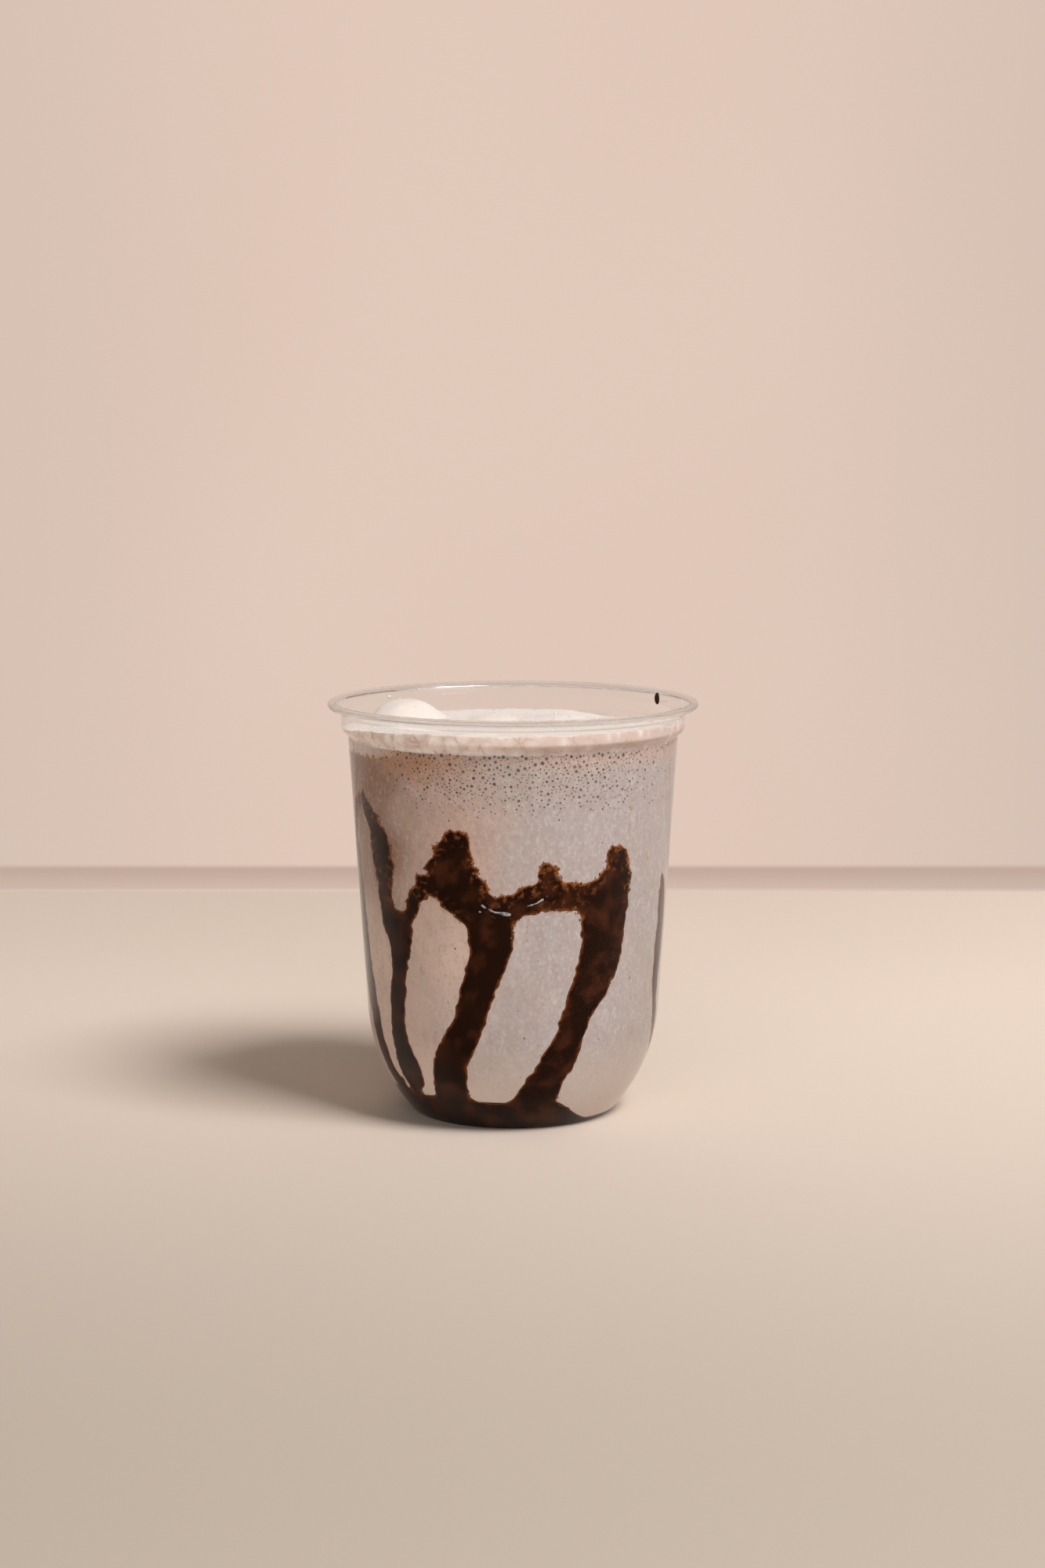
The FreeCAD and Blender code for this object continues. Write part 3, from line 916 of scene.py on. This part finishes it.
# %% A finish
class Finish:
    """One material, built node by node. Patterns are sized in millimetres."""

    def __init__(self, name):
        self.material = bpy.data.materials.new(name)
        self.material.use_nodes = True
        self.tree = self.material.node_tree
        self.tree.nodes.clear()
        self.output = self.tree.nodes.new("ShaderNodeOutputMaterial")

    def node(self, kind, settings=None, inputs=None):
        """Any node: its type, its settings, then the values or links of its sockets."""
        made = self.tree.nodes.new(kind)
        for name, value in (settings or {}).items():
            setattr(made, name, value)
        for name, value in (inputs or {}).items():
            if isinstance(value, Amount):
                value = value.socket
            if isinstance(value, bpy.types.NodeSocket):
                self.tree.links.new(value, made.inputs[name])
            else:
                made.inputs[name].default_value = value
        return made

    def amount(self, kind, settings=None, inputs=None, output=0):
        """The same, for a node whose output is used as a number."""
        return Amount(self, self.node(kind, settings, inputs).outputs[output])

    def place(self, scale=(1, 1, 1)):
        """The place on the piece, in metres, stretched along each axis."""
        spot = self.node("ShaderNodeTexCoord").outputs["Object"]
        return self.node("ShaderNodeMapping", None, {"Vector": spot, "Scale": scale}).outputs[0]

    def noise(self, size_mm, scale=(1, 1, 1), detail=2.0, roughness=0.5):
        """Random cloud from 0 to 1 whose lumps are about size_mm across."""
        inputs = {
            "Vector": self.place(scale), "Scale": 1 / (size_mm * MM),
            "Detail": detail, "Roughness": roughness,
        }
        return self.amount("ShaderNodeTexNoise", None, inputs)

    def cells(self, size_mm, feature="F1", scale=(1, 1, 1)):
        """Distance to the nearest of many scattered points, in cell widths, or to the
        nearest edge between two of their cells."""
        inputs = {"Vector": self.place(scale), "Scale": 1 / (size_mm * MM)}
        return self.amount("ShaderNodeTexVoronoi", {"feature": feature}, inputs)

    def kept(self, label):
        """A number that was kept with the mesh's points."""
        return self.amount("ShaderNodeAttribute", {"attribute_name": label}, None, "Fac")

    def along(self, axis):
        """The place along one axis, in millimetres."""
        spot = self.node("ShaderNodeTexCoord").outputs["Object"]
        return self.amount("ShaderNodeSeparateXYZ", None, {0: spot}, axis) * (1 / MM)

    def height(self):
        """Height over the table, in millimetres."""
        return self.along("Z")

    def blend(self, a, b, factor):
        """Colour a where the factor is 0 and colour b where it is 1."""
        made = self.node("ShaderNodeMix", {"data_type": "RGBA"})
        for socket, value in ((made.inputs[6], a), (made.inputs[7], b), (made.inputs[0], factor)):
            if isinstance(value, Amount):
                value = value.socket
            if isinstance(value, bpy.types.NodeSocket):
                self.tree.links.new(value, socket)
            elif isinstance(value, tuple):
                socket.default_value = (*value, 1)
            else:
                socket.default_value = value
        return made.outputs[2]

    def layered(self, ground, *layers):
        """The ground with layers of (colour, amount) laid over it, one after the other."""
        for colour, amount in layers:
            ground = self.blend(ground, colour, amount)
        return ground

    def bumps(self, height, depth_mm):
        """A surface direction tilted by a height that runs from 0 to 1 over depth_mm."""
        inputs = {"Height": height, "Distance": depth_mm * MM, "Strength": 1.0}
        return self.node("ShaderNodeBump", None, inputs).outputs[0]

    def body(self, inputs):
        """The Principled shader with these inputs, sent to the output."""
        self.send(self.node("ShaderNodeBsdfPrincipled", None, inputs))

    def send(self, shader):
        """Sends a shader to the output."""
        self.tree.links.new(shader.outputs[0], self.output.inputs[0])

    def mixed(self, factor, first, second):
        """The first shader where the factor is 0 and the second where it is 1."""
        inputs = {0: factor, 1: first.outputs[0], 2: second.outputs[0]}
        return self.node("ShaderNodeMixShader", None, inputs)

    def cover(self, *pieces):
        """Gives the finish to the pieces."""
        for piece in pieces:
            piece.data.materials.clear()
            piece.data.materials.append(self.material)
        names = ", ".join(piece.name for piece in pieces)
        print(self.material.name, "with", len(self.tree.nodes), "nodes covers", names)


print("a finish knows", [name for name in vars(Finish) if not name.startswith("_")])

# %% [markdown]
# ## Clear plastic
# Clear plastic bends and mirrors what the camera sees. A plain glass shader does that, but
# it also blocks the lamps, and the drink behind it would go dark. So the sheet is left out
# for shadow rays, and for light bounced off the drink. A faint waviness from forming breaks
# up the reflections, and the roll at the very edge is a little greyer.

# %% The plastic's finish
plastic = Finish("clear_plastic_sheet")
waves = plastic.noise(9, (1, 1, 0.35), 1.0)
rim = plastic.height().between(103.6, 104.8)
edge = plastic.kept("edge").between(0.8, 1.0)
glassy = plastic.node("ShaderNodeBsdfPrincipled", None, {
    "Base Color": plastic.blend((0.95, 0.965, 0.97), (0.70, 0.71, 0.72), edge),
    "Roughness": plastic.noise(3, detail=3.0) * 0.03 + 0.01 + rim * 0.05,
    "IOR": 1.5,
    "Specular Tint": (0.0, 0.0, 0.0, 1),
    "Transmission Weight": 1.0,
    "Normal": plastic.bumps(waves, 0.03),
})
rays = plastic.node("ShaderNodeLightPath")
clear = plastic.node("ShaderNodeBsdfTransparent")
for_lamps = plastic.mixed(rays.outputs["Is Shadow Ray"], glassy, clear)
plastic.send(plastic.mixed(rays.outputs["Is Diffuse Ray"], for_lamps, clear))
plastic.cover(cup)

# %% [markdown]
# ## The drink
# The shake is a warm greyish beige, mottled by fine froth and cookie dust in patches that
# are taller than wide. It is browner at the left, partly where syrup has tinted it and partly
# as painted shade on the side turned from the lamps, and an orange stain sits under the froth
# on the left. Near the bottom it is painted paler, as painted light thrown up from the table.
# One noise would look like printed stone, so noises of several sizes are laid over each other,
# each only a little. Light sinks in a short way.

# %% The milkshake's finish
shake = Finish("cookie_milkshake")
fine = shake.noise(0.8, (1, 1, 0.75), 2.0, 0.6)
grain = shake.noise(1.7, (1, 1, 0.6), 2.0, 0.55)
patches = shake.noise(5.0, (1, 1, 0.6), 2.5, 0.55)
wide = shake.noise(18, (1, 1, 0.8), 1.0)
dust = shake.cells(1.5, scale=(1, 1, 0.8)).between(0.24, 0.08) * shake.noise(5).between(0.5, 0.65)
tint = shake.kept("tint")
low = shake.height().between(74, 44)
brown = shake.blend((0.55, 0.385, 0.315), (0.69, 0.51, 0.425), low)
left = shake.along("X").between(-24, -40)
under = (shake.height() + (shake.noise(1.2) - 0.5) * 3.0 + left * 1.6).between(95.4, 96.6)
ground = shake.layered(
    (0.42, 0.37, 0.362),
    # Browner and darkest at the left: partly syrup, partly painted shade on the side turned from
    # the lamps.
    (brown, tint.between(0, 0.6)),
    ((0.30, 0.165, 0.105), tint.between(0.70, 1.0)),
    ((0.41, 0.32, 0.28), patches.between(0.42, 0.72) * 0.35),
    ((0.64, 0.575, 0.54), fine.between(0.50, 0.72) * 0.38),
    ((0.36, 0.27, 0.23), fine.between(0.46, 0.28) * 0.32),
    ((0.36, 0.275, 0.235), grain.between(0.52, 0.70) * 0.32),
    ((0.60, 0.54, 0.51), grain.between(0.44, 0.28) * 0.35),
    ((0.43, 0.34, 0.29), wide.between(0.45, 0.7) * 0.25),
    # Painted light: paler near the bottom, as light thrown up from the table.
    ((0.66, 0.56, 0.50), shake.height().between(27, 8) * 0.7),
    ((0.22, 0.13, 0.09), dust * 0.35),
    ((0.47, 0.25, 0.14), shake.kept("stain") * 0.9),
    ((0.84, 0.71, 0.63), under * left * 0.8),
)
shake.body({
    "Base Color": ground,
    "Roughness": 0.5 + fine * 0.15,
    "Specular IOR Level": 0.05,
    "Subsurface Weight": 0.25,
    "Subsurface Radius": (1.0, 0.5, 0.3),
    "Subsurface Scale": 1.5 * MM,
})
shake.cover(milkshake)

# %% [markdown]
# ## The froth
# Froth is paler than the drink. Against the wall it shows packed bubbles: pale cells with
# thin brownish edges, and there it is painted lighter on the left and darker on the right, as
# painted light and shade. On top it is smoother and almost white. Cells this small would need
# millions of faces, so they are colour, from scattered points and the edges between them.

# %% The froth's finish
cream = Finish("milk_froth")
lump = cream.cells(3.2, scale=(1, 1, 0.8))
cell_edges = cream.cells(3.2, "DISTANCE_TO_EDGE", (1, 1, 0.8))
cracks = cell_edges.between(0.07, 0.0) * cream.noise(3).between(0.42, 0.6)
small = cream.cells(0.9).between(0.2, 0.6)
band = cream.kept("band")
left = cream.along("X").between(30, -34)
foot = (cream.height() + (cream.noise(1.2) - 0.5) * 3.0 + left * 1.2).between(97.8, 96.8)
# Painted light and shade: the froth against the wall is lighter on the left and darker on the
# right.
band_painted_light_and_shade = cream.blend((0.58, 0.485, 0.45), (0.97, 0.88, 0.81), left)
ground = cream.layered(
    (0.71, 0.635, 0.59),
    (band_painted_light_and_shade, band),
    ((0.90, 0.81, 0.75), lump.between(0.45, 0.1) * band * 0.6),
    ((0.60, 0.45, 0.38), lump.between(0.4, 0.75) * band * 0.5),
    ((0.44, 0.29, 0.22), cracks * band * 0.6),
    ((0.66, 0.52, 0.45), small * band * 0.25),
    ((0.46, 0.32, 0.255), foot * band * 0.55),
)
cream.body({
    "Base Color": ground,
    "Roughness": 0.55 + small * 0.1,
    "Specular IOR Level": 0.2,
    "Subsurface Weight": 0.5,
    "Subsurface Radius": (1.0, 0.7, 0.5),
    "Subsurface Scale": 2.0 * MM,
    "Normal": cream.bumps(cream.noise(0.8, detail=3.0), 0.04),
})
cream.cover(foam, froth, splashes)

# %% [markdown]
# ## The syrup
# Thick syrup is almost black brown. Where the film is thin, at its edges and its ragged
# tops, light comes through it orange. A clear shader with absorption would show that, but
# only where the mesh is exactly as thin as the real film. The depth kept with the mesh
# already tells how far in from the edge each point lies, so it sets the tone directly.

# %% The syrup's finish
syrup = Finish("chocolate_syrup_film")
grain = syrup.noise(0.8, detail=3.0, roughness=0.65)
wide = syrup.noise(5.0)
edge = syrup.kept("depth") + (grain - 0.5) * 1.2
high = syrup.height().between(52, 66)
mottle = syrup.noise(1.6, detail=3.0, roughness=0.6)
thin = edge.between(0.9, 0.1) * (0.5 + high * 0.35)
thin = thin + mottle.between(0.50, 0.70) * edge.between(4.5, 1.0) * high * 0.7
ground = syrup.blend((0.013, 0.004, 0.0015), (0.050, 0.014, 0.005), wide.between(0.42, 0.75))
ground = syrup.blend(ground, (0.29, 0.092, 0.024), thin)
syrup.body({
    "Base Color": ground,
    "Roughness": 0.45 + grain * 0.2,
    "Specular IOR Level": 0.05,
})
syrup.cover(*films)

# %% The pool's finish
deep = Finish("chocolate_syrup_pool")
grain = deep.noise(2.0, detail=2.0)
# Painted light: an amber glow at the lower left of the pool, as light shining through the thin
# syrup.
glow = deep.along("X").between(-6, -22) * deep.height().between(4.5, 1.5)
ground = deep.blend((0.014, 0.005, 0.0025), (0.034, 0.012, 0.004), grain.between(0.4, 0.7))
ground = deep.blend(ground, (0.26, 0.13, 0.035), glow * grain.between(0.35, 0.65) * 0.7)
deep.body({"Base Color": ground, "Roughness": 0.4, "Specular IOR Level": 0.1})
deep.cover(pool, drop)

# %% [markdown]
# ## Small things against the plastic
# Each bubble is a dark window with a light rim, painted shade in its middle and a painted
# highlight at its rim, and crumbs and grains differ from one to the next. A material for each
# would be hundreds of materials, so one finish reads the amounts kept with the points: a random
# tone for each body, and how near the rim it is.

# %% The finishes of grains, bubbles, crumbs and wisps
speck = Finish("chocolate_syrup_grain")
ground = speck.blend((0.03, 0.012, 0.006), (0.36, 0.16, 0.075), speck.kept("tone"))
speck.body({"Base Color": ground, "Roughness": 0.6, "Specular IOR Level": 0.1})
speck.cover(grains)

window = Finish("bubble_painted_shade_and_rim_light")
rim = window.kept("rim")
# Painted shade in the bubble's middle and a painted highlight at its rim.
ground = window.blend((0.10, 0.06, 0.045), (0.21, 0.145, 0.115), window.kept("tone"))
ground = window.blend(ground, (0.50, 0.43, 0.40), rim.between(0.2, 0.75))
window.body({"Base Color": ground, "Roughness": 0.5 + rim * 0.1, "Specular IOR Level": 0.05})
window.cover(bubbles)

cookie = Finish("cookie_crumb")
ground = cookie.blend((0.04, 0.02, 0.013), (0.14, 0.08, 0.055), cookie.kept("tone"))
cookie.body({"Base Color": ground, "Roughness": 0.7, "Specular IOR Level": 0.1})
cookie.cover(crumbs)

pale = Finish("thin_milk")
cloud = pale.noise(1.2, detail=2.0)
ground = pale.blend((0.10, 0.085, 0.09), (0.38, 0.37, 0.39), cloud.between(0.35, 0.65))
pale.body({"Base Color": ground, "Roughness": 0.45, "Specular IOR Level": 0.1})
pale.cover(wisps)

# %% [markdown]
# ## The table
# The cup stands on a plain pale table, and the backdrop begins behind its back edge. One
# sheet curved up into a wall would be simpler, but it would stand so near that it hides the
# cup from behind. So the table is a sheet of its own, painted a little darker towards its
# front as painted shade, where less light falls.

# %% The table
TABLE_FRONT = -1.6
TABLE_BACK = 0.326
TABLE_TOP = -0.00003
TABLE_EDGE = -0.05
HALF_ACROSS = 1.8


def sheet_of(name, line):
    """A wide sheet along X, from a line of places (Y, Z) in metres."""
    line = np.array(line) / MM
    across = np.linspace(-HALF_ACROSS, HALF_ACROSS, 3) / MM
    shape = (len(line), 3)
    points = [np.broadcast_to(across, shape)]
    points += [np.broadcast_to(line[:, k:k + 1], shape) for k in (0, 1)]
    made = build(name, np.stack(points, -1), grid_faces(*shape, closed=False))
    return made


def uneven_tone(paper, one, other):
    """Pale paper that is not quite even: two near tones in soft wide patches."""
    return paper.blend(one, other, paper.noise(300, detail=1.0).between(0.35, 0.65))


table_line = [(TABLE_FRONT, TABLE_TOP), (TABLE_BACK, TABLE_TOP), (TABLE_BACK, TABLE_EDGE)]
table = sheet_of("table", table_line)
if table.data.polygons[0].normal.z < 0:
    table.data.flip_normals()
paper = Finish("pale_table")
ground = uneven_tone(paper, (0.76, 0.65, 0.56), (0.79, 0.67, 0.59))
# Painted shade: darker towards the front of the table, where less light falls.
ground = paper.blend(ground, (0.44, 0.375, 0.315), paper.along("Y").between(200, -300))
paper.body({"Base Color": ground, "Roughness": 0.9, "Specular IOR Level": 0.1})
paper.cover(table)

# %% [markdown]
# ## The backdrop
# Lit by lamps, a backdrop is seldom even, and more light on it would also change the cup.
# So it shows its own pale colour, whatever light reaches it, to the eye and in the plastic,
# and to the light that it throws back on the cup it is plain matt paper. A darker band of
# painted shadow runs along its foot, just over the edge of the table, and its sides are
# painted a little darker as painted shade.

# %% The backdrop
WALL_BACK = 0.75
WALL_FOOT = -0.12
WALL_TOP = 1.8
GAP_SHADOW_FOOT = -73.6
GAP_SHADOW_RISE = 12.7
GAP_SHADOW_BLUR = 1.6
backdrop = sheet_of("backdrop", [(WALL_BACK, WALL_FOOT), (WALL_BACK, WALL_TOP)])
if backdrop.data.polygons[0].normal.y > 0:
    backdrop.data.flip_normals()
paper = Finish("pale_backdrop")
ground = uneven_tone(paper, (0.755, 0.585, 0.495), (0.74, 0.565, 0.475))
# Painted shade: the backdrop's sides are a little darker.
side_shade = paper.along("X").between(80, 330) + paper.along("X").between(-80, -330)
ground = paper.blend(ground, (0.66, 0.53, 0.45), side_shade)
# Painted shadow: a darker band along the foot of the backdrop, where the gap behind the table
# lies in shade.
rise = paper.height() - GAP_SHADOW_FOOT
gap_shadow = rise.between(GAP_SHADOW_RISE + GAP_SHADOW_BLUR, GAP_SHADOW_RISE - GAP_SHADOW_BLUR) * rise.between(0.1, 2.2)
gap_shadow = gap_shadow * (rise.between(0, GAP_SHADOW_RISE) * 0.5 + 0.5)
ground = paper.blend(ground, (0.54, 0.395, 0.33), gap_shadow)
glow = paper.node("ShaderNodeEmission", None, {"Color": ground})
matt = paper.node("ShaderNodeBsdfDiffuse", None, {"Color": (0.78, 0.66, 0.57, 1)})
rays = paper.node("ShaderNodeLightPath")
kinds = ("Is Camera Ray", "Is Glossy Ray", "Is Transmission Ray")
seen = sum(Amount(paper, rays.outputs[kind]) for kind in kinds)
paper.send(paper.mixed(seen, matt, glow))
paper.cover(backdrop)
print("backdrop", WALL_BACK, "m behind the cup's axis")

# %% [markdown]
# ## The lamps and the room
# A large window to the right and above gives a soft shadow to the left, and the room fills
# it from the front. A sun lamp would make that shadow hard, so both are square area lamps,
# whose size sets how soft they are. The fill makes no highlights, as a room's walls don't.

# %% The lamps and the room
LAMP_AIM = 0.05


def lamp(name, direction, height, distance, size, power, colour, shiny=True):
    """A square soft lamp at a direction from the front and a height angle, in degrees,
    turned to face the cup. One that isn't shiny makes no highlights."""
    light = bpy.data.lights.new(name, "AREA")
    light.size = size
    light.energy = power
    light.color = colour
    holder = bpy.data.objects.new(name, light)
    bpy.context.scene.collection.objects.link(holder)
    way, rise = math.radians(direction), math.radians(height)
    level = distance * math.cos(rise)
    lift = distance * math.sin(rise) + LAMP_AIM
    holder.location = (level * math.sin(way), -level * math.cos(way), lift)
    holder.rotation_euler = (math.pi / 2 - rise, 0, way)
    holder.visible_glossy = shiny
    return holder


lamp(
    "key", direction=48, height=53, distance=1.25,
    size=0.5, power=17.0, colour=(1.0, 0.985, 0.97),
)
lamp(
    "fill", direction=-8, height=12, distance=1.6,
    size=1.3, power=11.5, colour=(1.0, 0.955, 0.925), shiny=False,
)
room = bpy.data.worlds.new("room")
room.use_nodes = True
sky = room.node_tree.nodes["Background"]
sky.inputs[0].default_value = (1.0, 0.95, 0.90, 1)
sky.inputs[1].default_value = 0.14
bpy.context.scene.world = room
print("lamps", [light.name for light in bpy.data.lights])

# %% [markdown]
# ## Light inside clear plastic
# Light turns many times on its way round inside a rolled lip. Where the renderer stops
# following it too soon, the lip has black lines. A thinner lip or a see-through shader
# would hide them but lose the bright edge, so light is followed further than usual.

# %% How far light is followed
paths = bpy.context.scene.cycles
paths.max_bounces = 40
paths.transmission_bounces = 40
paths.glossy_bounces = 12
paths.transparent_max_bounces = 24
print("turns of light followed", paths.max_bounces)

# %% [markdown]
# ## The camera
# The cup is seen from a little above its lip, so that the froth shows as a thin oval. The
# camera could be tied to a target, but a place and one tilt say the same, and stay put.

# %% The camera
LENS = 72.07
CAMERA_PLACE = (0.00245, -0.800, 0.1953)
CAMERA_TILT = 7.882
camera_data = bpy.data.cameras.new("camera")
camera_data.lens = LENS
camera_data.sensor_width = 36
camera_data.clip_start = 0.01
camera = bpy.data.objects.new("camera", camera_data)
camera.location = CAMERA_PLACE
camera.rotation_euler = (math.radians(90 - CAMERA_TILT), 0, 0)
bpy.context.scene.collection.objects.link(camera)
bpy.context.scene.camera = camera
bpy.context.scene.view_settings.view_transform = "Standard"
print("camera looks down by", CAMERA_TILT, "degrees")

# %% [markdown]
# ## Sizes, and the end
# Every new surface was made from the CAD model's sizes, so the box round all of them should
# be the CAD box.
